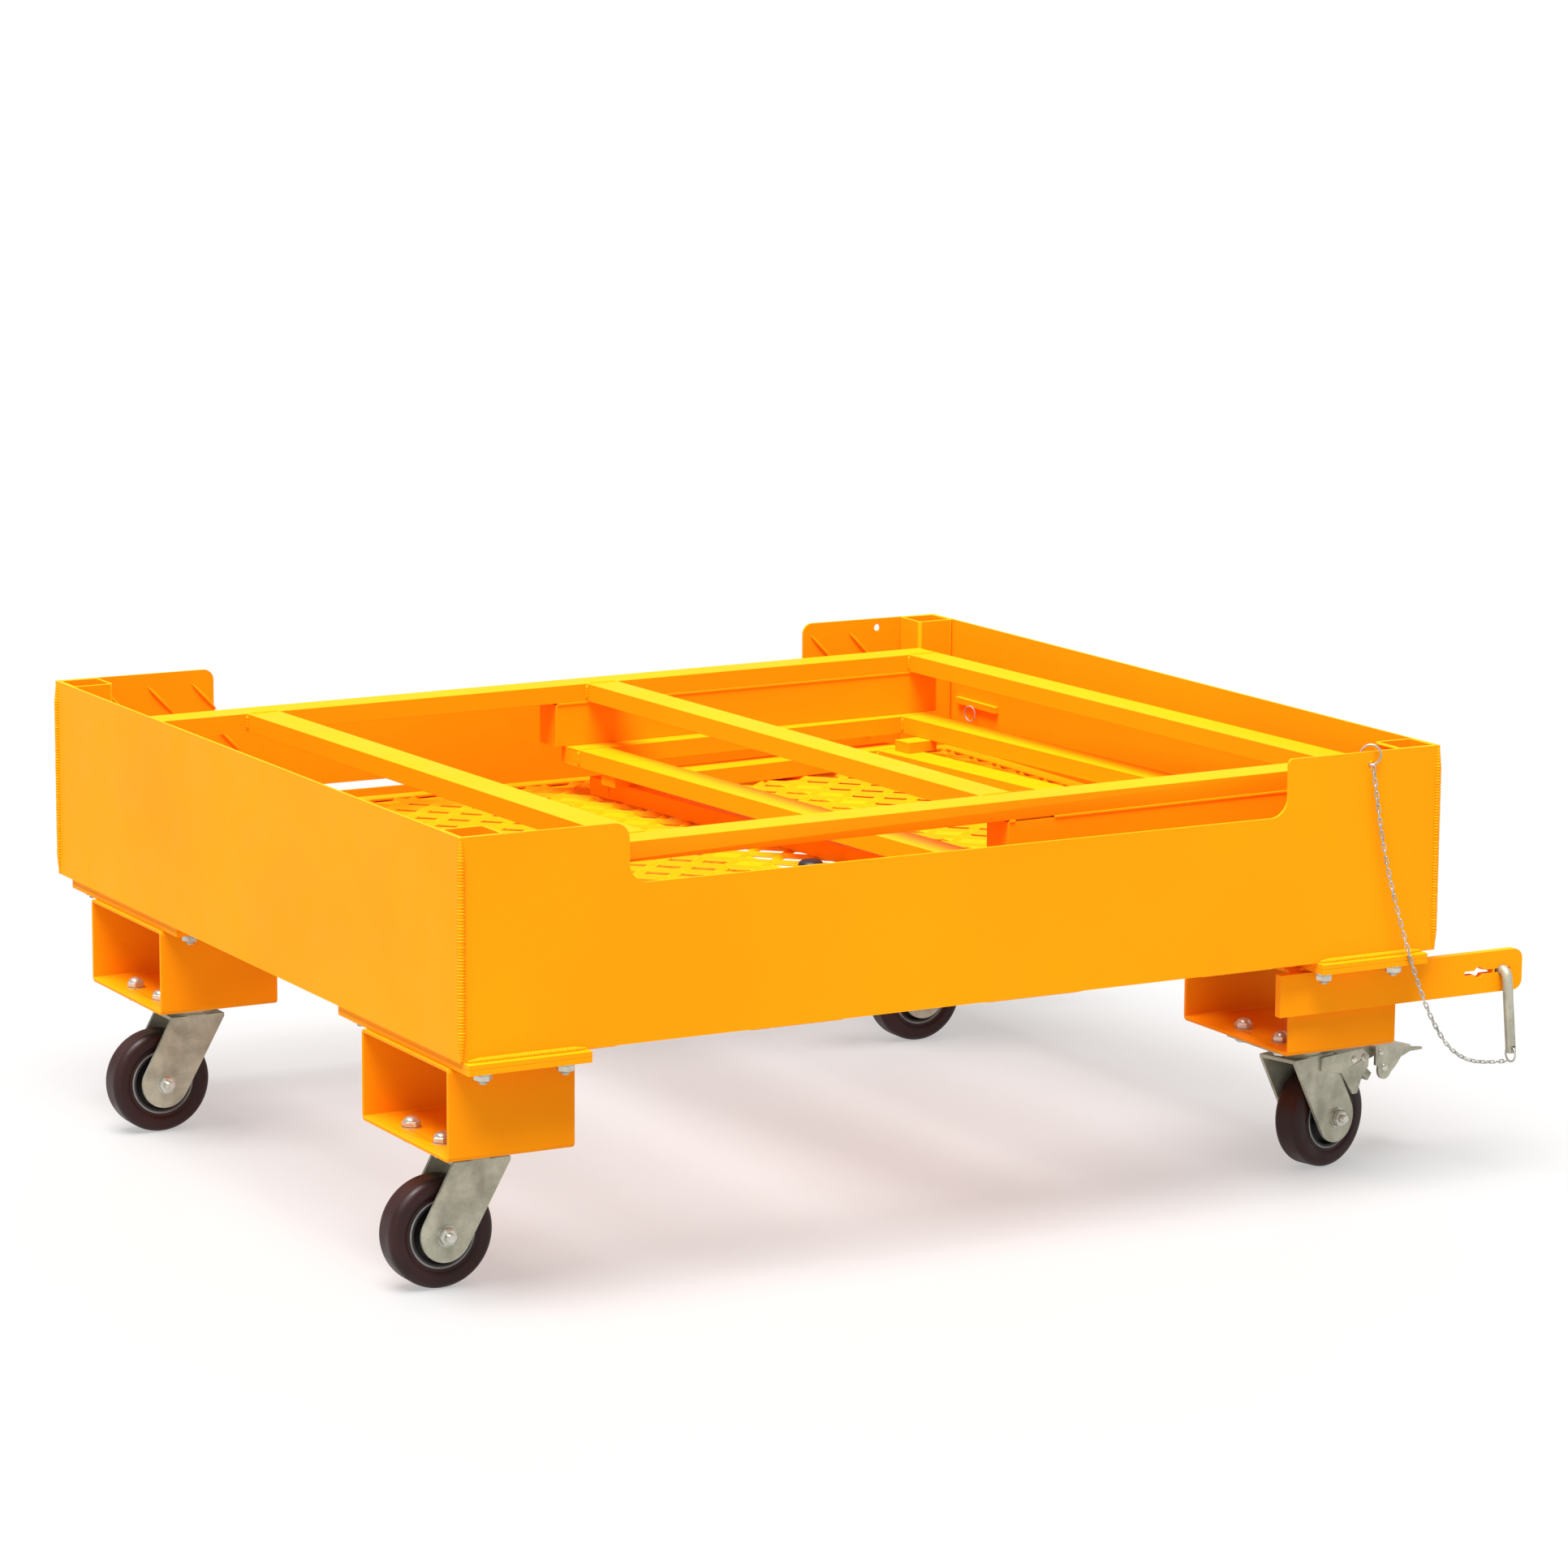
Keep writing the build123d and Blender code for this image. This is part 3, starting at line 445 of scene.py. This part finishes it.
CORNER_ROOM = 53.5 * MM
middle_z = (floor_low.z + floor_high.z) / 2
slant = Vector((DIAMOND[0], DIAMOND[1], 0)).normalized()
reach = int((tray_width + tray_depth) / DIAMOND[0]) + 2
for lean, size, lift, tilt in ((1, WIDE_STRAND, -0.9, 38), (-1, THIN_STRAND, -1.4, 62)):
    direction = Vector((slant.x, slant.y * lean, 0))
    turn = math.radians(tilt)
    across = Vector((-direction.y, direction.x, 0)) * math.cos(turn) + UP * math.sin(turn)
    for index in range(-reach, reach):
        point = Vector((floor_low.x + index * DIAMOND[0] * MM, floor_low.y, middle_z + lift * MM))
        near, far = clipped(point, direction)
        if far - near < 0.02:
            continue
        start, end = point + direction * near, point + direction * far
        for socket_x in (floor_low.x, floor_high.x):
            for here, step in ((start, direction), (end, -direction)):
                while abs(here.x - socket_x) < CORNER_ROOM and here.y - floor_low.y < CORNER_ROOM:
                    here += step * 0.004
        if (end - start).dot(direction) > 0.02:
            bar(lattice, start, end, across, *size)
mesh = finish_mesh("expanded_metal", lattice)
piece("expanded_metal", mesh, "root", paint, ["floor_mesh"])

TRIM = 24.0
trim = bmesh.new()
for start, end, across in (
    ((3, 1055, 341.8), (1217, 1055, 341.8), (0, 1, 0)),
    ((15, 54, 341.8), (15, 1043, 341.8), (1, 0, 0)),
    ((1205, 54, 341.8), (1205, 1043, 341.8), (1, 0, 0)),
    ((54, 15, 341.8), (1166, 15, 341.8), (0, 1, 0)),
):
    bar(trim, at(*start), at(*end), Vector(across), TRIM, 2.4)
piece("floor_trim", finish_mesh("floor_trim", trim), "root", paint)

# ---- raised tread bars on the rear wall, and its wings ---------------------------------------------
TREAD_PITCH = 57.0
tread = bmesh.new()
wall_face = tray_depth - 3
for start_x, count in ((60, 3), (1034, 2)):
    for column in range(count):
        for row in range(4):
            x = start_x + column * TREAD_PITCH + (row % 2) * TREAD_PITCH / 2
            z = rim - 16 - row * 52
            a = at(x, wall_face - 0.5, z)
            b = at(x + 32, wall_face - 0.5, z - 34)
            steps = [a.lerp(b, k / 8) for k in range(9)]
            swell = [2.4 * math.sqrt(max(0.03, 1 - (2 * k / 8 - 1) ** 2)) for k in range(9)]
            tube(tread, steps, swell, 8)
piece("tread_bars", finish_mesh("tread_bars", tread, 60), "root", paint)

# ---- weld beads ------------------------------------------------------------------------------------
welds = bmesh.new()
corners = ((2.2, 0.6), (tray_width - 2.2, 0.6), (0.4, tray_depth - 4.7), (tray_width - 0.4, tray_depth - 4.7))
for x, y in corners:
    bead(welds, at(x, y, wall_low + 2), at(x, y, rim - 4), 3.8)
for x0, x1 in ((8, 143), (1063, 1199)):
    bead(welds, at(x0, -0.6, wall_low + 0.8), at(x1, -0.6, wall_low + 0.8), 3.6)
for x0, x1 in ((60, 190), (330, 460), (620, 760), (900, 1010)):
    bead(welds, at(x0, 3.6, wall_low + 1.0), at(x1, 3.6, wall_low + 1.0), 2.6)
for tag in ("fl", "fr", "rl", "rr"):
    low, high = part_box("fork_pocket_" + tag)
    for y, outward in ((low.y, -1), (high.y, 1)):
        seam = [Vector((x, y + outward * 0.0006, high.z - 0.0008)) for x in (low.x + 0.012, high.x - 0.012)]
        bead(welds, *seam, 3.4)
for x in (28, 1192):
    for dx in (-25, 25):
        bead(welds, at(x + dx, 28 - 20, rim - 2), at(x + dx, 28 + 20, rim - 2), 1.8)
piece("frame_welds", finish_mesh("frame_welds", welds, 60), "root", paint)


def panel_welds(name, body, centre, angle, tops, half_depth, cross_bars):
    """Beads where a panel's cross tubes meet its long tubes."""
    low_z, high_z = tops
    turn = math.radians(angle)
    ahead = Vector((math.cos(turn), math.sin(turn), 0))
    aside = Vector((-math.sin(turn), math.cos(turn), 0))
    middle = at(*centre, 0)
    bm = bmesh.new()
    row = half_depth - 42
    for x in cross_bars:
        for side in (-1, 1):
            joint = middle + ahead * x * MM + aside * side * row * MM
            half = ahead * 19 * MM
            bead(bm, joint - half + UP * high_z, joint + half + UP * high_z, 1.5)
            for edge in (-1, 1):
                foot = joint + ahead * edge * 21.2 * MM
                bead(bm, foot + UP * (low_z + 0.003), foot + UP * (high_z - 0.002), 2.2)
    piece(name, finish_mesh(name, bm, 60), body, paint)


# Where each panel's middle lies, and how far it is turned, in degrees.
TOP_LAY = ((650, 542), 2.5)
MIDDLE_LAY = ((908, 537), 4.3)
LOWER_LAY = ((902, 564), 6)
top_low, top_high, _ = span("guardrail_panel_top")
panel_welds("top_panel_welds", "top_guardrail", *TOP_LAY, (top_low.z, top_high.z), 480, (-430, 32, 504))
mid_low, mid_high, _ = span("guardrail_panel_middle")
panel_welds("middle_panel_welds", "middle_guardrail", *MIDDLE_LAY, (mid_low.z, mid_high.z), 474, (-241, 241))
lower_low, lower_high, _ = span("guardrail_panel_lower")
lower_tops = (lower_low.z, lower_high.z)
panel_welds("lower_panel_welds", "lower_guardrail", *LOWER_LAY, lower_tops, 420, (-204, 204))

# ---- end caps, and the seam between the top panel and its sleeves -----------------------------------
TUBE = 42


def capped_ends(name, body, centre, angle, low_z, high_z, row, ends):
    """Thin plates welded over the open ends of a panel's long tubes."""
    turn = math.radians(angle)
    ahead = Vector((math.cos(turn), math.sin(turn), 0))
    aside = Vector((-math.sin(turn), math.cos(turn), 0))
    bm = bmesh.new()
    for side, x in ends:
        middle = at(*centre, 0) + ahead * x * MM + aside * side * row * MM + UP * (low_z + high_z) / 2
        half = aside * (TUBE / 2 - 0.6) * MM
        bar(bm, middle - half, middle + half, UP, (high_z - low_z) / MM - 1.2, 2.0, 0.1)
    piece(name, finish_mesh(name, bm), body, paint)


def both_rows(*ends):
    return [(side, x) for side in (-1, 1) for x in ends]


SLEEVE_HEIGHT = 0.052
sleeve_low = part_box("guardrail_sleeves")[0]
sleeve_top = sleeve_low.z + SLEEVE_HEIGHT
sleeve_ends = ((-1, 21.2), (1, -31.8), (-1, 523.8), (1, 523.8))
capped_ends("sleeve_caps", "top_guardrail", *TOP_LAY, sleeve_low.z, sleeve_top, 459, sleeve_ends)
top_ends = both_rows(-588.8, 523.8)
capped_ends("top_tube_caps", "top_guardrail", *TOP_LAY, top_low.z, top_high.z, 459, top_ends)
middle_ends = both_rows(-260.8, 260.8)
capped_ends("middle_tube_caps", "middle_guardrail", *MIDDLE_LAY, mid_low.z, mid_high.z, 453, middle_ends)
lower_ends = both_rows(-223.8, 223.8)
capped_ends("lower_tube_caps", "lower_guardrail", *LOWER_LAY, lower_low.z, lower_high.z, 399, lower_ends)

seam_turn = math.radians(TOP_LAY[1])
ahead = Vector((math.cos(seam_turn), math.sin(seam_turn), 0))
aside = Vector((-math.sin(seam_turn), math.cos(seam_turn), 0))
seams = bmesh.new()
for offset, start, end in ((-479.6, 22, 29), (-479.6, 81, 524), (438.4, -31, 524), (479.6, -31, 524)):
    seam_middle = at(*TOP_LAY[0], 0) + aside * offset * MM + UP * (sleeve_top + 0.0008)
    bar(seams, seam_middle + ahead * start * MM, seam_middle + ahead * end * MM, aside, 3.4, 2.6)
piece("sleeve_seams", finish_mesh("sleeve_seams", seams), "top_guardrail", paint)

# ---- nuts and bolts ---------------------------------------------------------------------------------
plate_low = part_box("pocket_plates")[0].z / MM
pad_nuts = bmesh.new()
for middle_x in (73, 1116):
    for plate_y in (-12, 762):
        for dx in (-47, 47):
            for dy in (12, 312):
                turn = random.uniform(0, 1)
                centre = at(middle_x + dx, plate_y + dy, plate_low)
                place = Matrix.Translation(centre) @ Matrix.Rotation(turn, 4, "Z")
                lathe(pad_nuts, place, [(5, 6), (9.6, 0), (9.6, -1.4), (5, -1.4)], 28)
                hexagon(pad_nuts, place, 17, -8.2, -1.2)
                thread(pad_nuts, place, 4.9, -11.8, -7.5)
piece("pad_nuts", finish_mesh("pad_nuts", pad_nuts), "root", bright_zinc, ["pad_fasteners"])

POCKET_FLOOR = 0.164
CASTERS = {"fl": "front_left", "fr": "front_right", "rl": "rear_left", "rr": "rear_right"}
caster_nuts = bmesh.new()
for tag, long_name in CASTERS.items():
    pivot = Vector(joints[long_name + "_swivel"]["pos_m"])
    for dx in (-50, 50):
        for dy in (-38, 38):
            base = Vector((pivot.x + dx * MM, pivot.y + dy * MM, POCKET_FLOOR))
            place = Matrix.Translation(base) @ Matrix.Rotation(random.uniform(0, 1), 4, "Z")
            lathe(caster_nuts, place, [(10.2, 0), (10.2, 1.6), (6, 1.6), (6, 0)], 28)
            hexagon(caster_nuts, place, 18, 1.4, 7.6)
            angles = [t * math.pi / 16 for t in range(8)]
            dome = [(8.6, 7.2)] + [(8.2 * math.cos(t), 7.2 + 5.6 * math.sin(t)) for t in angles]
            lathe(caster_nuts, place, dome + [(0.8, 12.8)], 28)
            thread(caster_nuts, place, 4.9, -15, 0.5)
            lathe(caster_nuts, place, [(5, -10), (10, -10), (10, -11.6), (5, -11.6)], 28)
            hexagon(caster_nuts, place, 16, -15, -11.4)
mesh = finish_mesh("caster_nuts", caster_nuts)
piece("caster_nuts", mesh, "root", bright_zinc, ["caster_bolts"])

# ---- casters ---------------------------------------------------------------------------------------
RIM_EDGE = ((35.6, 16.2), (35.6, 17.2), (36.6, 17.7), (37.9, 17.3), (38.1, 16.2))
AXLE_SPAN_HALF = 27
AXLE_FLANGE = ((4.9, 0), (11.5, 0), (11.5, 1.8), (4.9, 1.8))
# Each rivet's distance along the trail, height, radius and distance from the wheel's middle plane.
FORK_RIVETS = ((65, 125, 4.6, 30),)
PEDAL_RIVETS = ((113, 126, 4.2, 30), (120, 107, 5.0, 30), (84, 124, 5.2, 30))
for tag, long_name in CASTERS.items():
    pivot = Vector(joints[long_name + "_swivel"]["pos_m"])
    hub = Vector(joints[long_name + "_wheel_spin"]["pos_m"])
    axle = Vector(joints[long_name + "_wheel_spin"]["axis"])
    trail = Vector((axle.y, -axle.x, 0))
    upright = Matrix.Translation(Vector((pivot.x, pivot.y, 0)))
    wheel_place = placed(hub, axle, trail)

    races = bmesh.new()
    cup = [(27, 148), (30.4, 148), (31.2, 149.2), (31.2, 151.6), (30.2, 153.6), (27, 153.8)]
    lathe(races, upright, cup, 56, looped=True)
    piece("upper_race_" + tag, finish_mesh("upper_race_" + tag, races), "root", zinc)
    races = bmesh.new()
    ring(races, upright @ Matrix.Translation((0, 0, 0.1432)), 26.6, 2.0, 56)
    ring(races, upright @ Matrix.Translation((0, 0, 0.1388)), 27.6, 1.2, 56)
    mesh = finish_mesh("lower_race_" + tag, races)
    piece("lower_race_" + tag, mesh, long_name + "_swivel", zinc)

    rims = bmesh.new()
    for side in (-1, 1):
        edge = [(radius, height * side) for radius, height in RIM_EDGE]
        lathe(rims, wheel_place, edge, 64, looped=True)
    mesh = finish_mesh("wheel_rim_" + tag, rims)
    piece("wheel_rim_" + tag, mesh, long_name + "_wheel", rim_grey)

    bolt = bmesh.new()
    nut_side = 1 if tag in ("fl", "rl") else -1
    bolt_place = placed(hub, axle * -nut_side, trail)
    lathe(bolt, bolt_place, [(4.9, -27.5), (4.9, 27.5)], 24)
    for side in (-1, 1):
        flange = [(radius, (AXLE_SPAN_HALF + height) * side) for radius, height in AXLE_FLANGE]
        lathe(bolt, bolt_place, flange, 32, looped=True)
    hexagon(bolt, bolt_place, 17, AXLE_SPAN_HALF + 1.6, AXLE_SPAN_HALF + 8)
    hexagon(bolt, bolt_place, 18, -AXLE_SPAN_HALF - 9, -AXLE_SPAN_HALF - 1.6, 1.3)
    thread(bolt, bolt_place, 4.9, -AXLE_SPAN_HALF - 14, -AXLE_SPAN_HALF - 8)
    mesh = finish_mesh("axle_set_" + tag, bolt)
    replaced = ["axle_bolt_" + tag]
    piece("axle_set_" + tag, mesh, long_name + "_swivel", bright_zinc, replaced)

    if tag in ("fr", "rr"):
        for ending, places in (("_swivel", FORK_RIVETS), ("_brake_pedal", PEDAL_RIVETS)):
            heads = bmesh.new()
            for along, height, radius, across in places:
                for side in (-1, 1):
                    base = Vector((pivot.x, pivot.y, 0)) + trail * along * MM
                    base += axle * side * across * MM + UP * height * MM
                    angles = [k * math.pi / 12 for k in range(6)]
                    dome = [(radius * math.cos(t), 0.2 + 2.4 * math.sin(t)) for t in angles]
                    profile = [(radius, -0.6)] + dome + [(0.4, 2.6)]
                    lathe(heads, placed(base, axle * side, trail), profile, 24)
            name = ("brake_rivets_" if ending == "_swivel" else "pedal_rivets_") + tag
            piece(name, finish_mesh(name, heads), long_name + ending, bright_zinc)

# ---- snap ring on the pin holder --------------------------------------------------------------------
holder_low, _, holder_middle = span("pin_holder")
wire = bmesh.new()
ring_centre = Vector((holder_low.x - 0.001, holder_middle.y + 0.01, holder_low.z - 0.008))
ring(wire, placed(ring_centre, Vector((1, 0.25, 0))), 9.5, 1.0, 36)
piece("holder_ring", finish_mesh("holder_ring", wire), "root", chain_steel)

# ---- chain -----------------------------------------------------------------------------------------
CHAIN_WIDTH = 5.4
LINK_WIRE = 0.85
LINK_PITCH = 7.6
route = [
    (1123, -8, 492), (1129, -9, 452), (1136, -10, 410), (1147, -12, 361), (1161, -14, 313),
    (1175, -15, 270), (1191, -15, 230), (1213, -12, 188), (1244, -6, 151), (1287, 2, 131),
    (1335, 8, 129),
]
curve = bpy.data.curves.new("chain_route", "CURVE")
curve.dimensions = "3D"
curve.resolution_u = 24
spline = curve.splines.new("NURBS")
spline.points.add(len(route) - 1)
for point, place in zip(spline.points, route):
    point.co = (*at(*place), 1)
spline.order_u = 3
spline.use_endpoint_u = True
guide = bpy.data.objects.new("chain_route", curve)
scene.collection.objects.link(guide)
bpy.context.view_layer.update()
path_mesh = bpy.data.meshes.new_from_object(guide)
path = [vertex.co.copy() for vertex in path_mesh.vertices]
bpy.data.objects.remove(guide)
bpy.data.meshes.remove(path_mesh)
marks = [0.0]
for first, second in zip(path, path[1:]):
    marks.append(marks[-1] + (second - first).length)
chain_length = marks[-1]


def on_path(distance):
    """The point at a distance along the chain, and the way that it runs there."""
    index = max(1, next((k for k, mark in enumerate(marks) if mark >= distance), len(marks) - 1))
    share = (distance - marks[index - 1]) / (marks[index] - marks[index - 1])
    return path[index - 1].lerp(path[index], share), (path[index] - path[index - 1]).normalized()


chain = bmesh.new()
count = round(chain_length / MM / LINK_PITCH)
pitch = chain_length / count
half_width = CHAIN_WIDTH / 2 - LINK_WIRE
straight = pitch / MM / 2 + LINK_WIRE - half_width
last_side = Vector((1, 0, 0))
for index in range(count):
    centre, along = on_path((index + 0.5) * pitch)
    last_side = (last_side - along * last_side.dot(along)).normalized()
    roll = math.radians(45 + 90 * (index % 2) + random.uniform(-14, 14))
    side = last_side * math.cos(roll) + along.cross(last_side) * math.sin(roll)
    line = []
    for end in (1, -1):
        for step in range(7):
            t = math.radians(-90 * end + 30 * step)
            out_along = along * (end * straight + half_width * math.cos(t)) * MM
            line.append(centre + out_along + side * half_width * math.sin(t) * MM)
    tube(chain, line, [LINK_WIRE] * len(line), 7, looped=True)
mesh = finish_mesh("chain_links", chain, 60)
links = bpy.data.objects.new("chain_links", mesh)
scene.collection.objects.link(links)
mesh.materials.append(chain_steel)
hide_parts("pin_chain")
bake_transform(links)

# ---- stage -------------------------------------------------------------------------------------
FLOOR_TONE = (0.20, 0.20, 0.20)
FLOOR_TONE_2 = (0.21, 0.21, 0.21)
FLOOR_GLOW = 0.45
floor_mesh = bpy.data.meshes.new("studio_floor")
FLOOR_HALF = 90
floor_corners = [(x * FLOOR_HALF, y * FLOOR_HALF, 0) for x, y in ((-1, -1), (1, -1), (1, 1), (-1, 1))]
floor_mesh.from_pydata(floor_corners, [], [(0, 1, 2, 3)])
floor = bpy.data.objects.new("studio_floor", floor_mesh)
scene.collection.objects.link(floor)
floor_look = Shader("floor", Roughness=0.6, Emission_Color=(1, 1, 1, 1), Emission_Strength=FLOOR_GLOW)
floor_look.colour(floor_look.mix(floor_look.ramp(floor_look.noise(2.0), 0.0, 1.0), FLOOR_TONE, FLOOR_TONE_2))
floor_mesh.materials.append(floor_look.material)

world = bpy.data.worlds.new("studio")
scene.world = world
world.use_nodes = True
world.node_tree.nodes["Background"].inputs["Color"].default_value = (1.0, 0.99, 0.97, 1)
world.node_tree.nodes["Background"].inputs["Strength"].default_value = 0.5
scene.view_settings.view_transform = "Standard"


def softbox(name, place, target, size, power):
    light = bpy.data.lights.new(name, "AREA")
    light.shape = "RECTANGLE"
    light.size, light.size_y = size
    light.energy = power
    made = bpy.data.objects.new(name, light)
    scene.collection.objects.link(made)
    made.location = place
    made.rotation_euler = (Vector(target) - Vector(place)).to_track_quat("-Z", "Y").to_euler()
    return made


sun = bpy.data.lights.new("sky_light", "SUN")
sun.energy = 7.2
sun.angle = math.radians(42)
sky_light = bpy.data.objects.new("sky_light", sun)
scene.collection.objects.link(sky_light)
sky_light.rotation_euler = Vector((-0.24, -0.19, 1.0)).to_track_quat("Z", "Y").to_euler()
softbox("front_light", (-3.4, -3.6, 1.9), (0, 0, 0.3), (2.5, 1.8), 8)
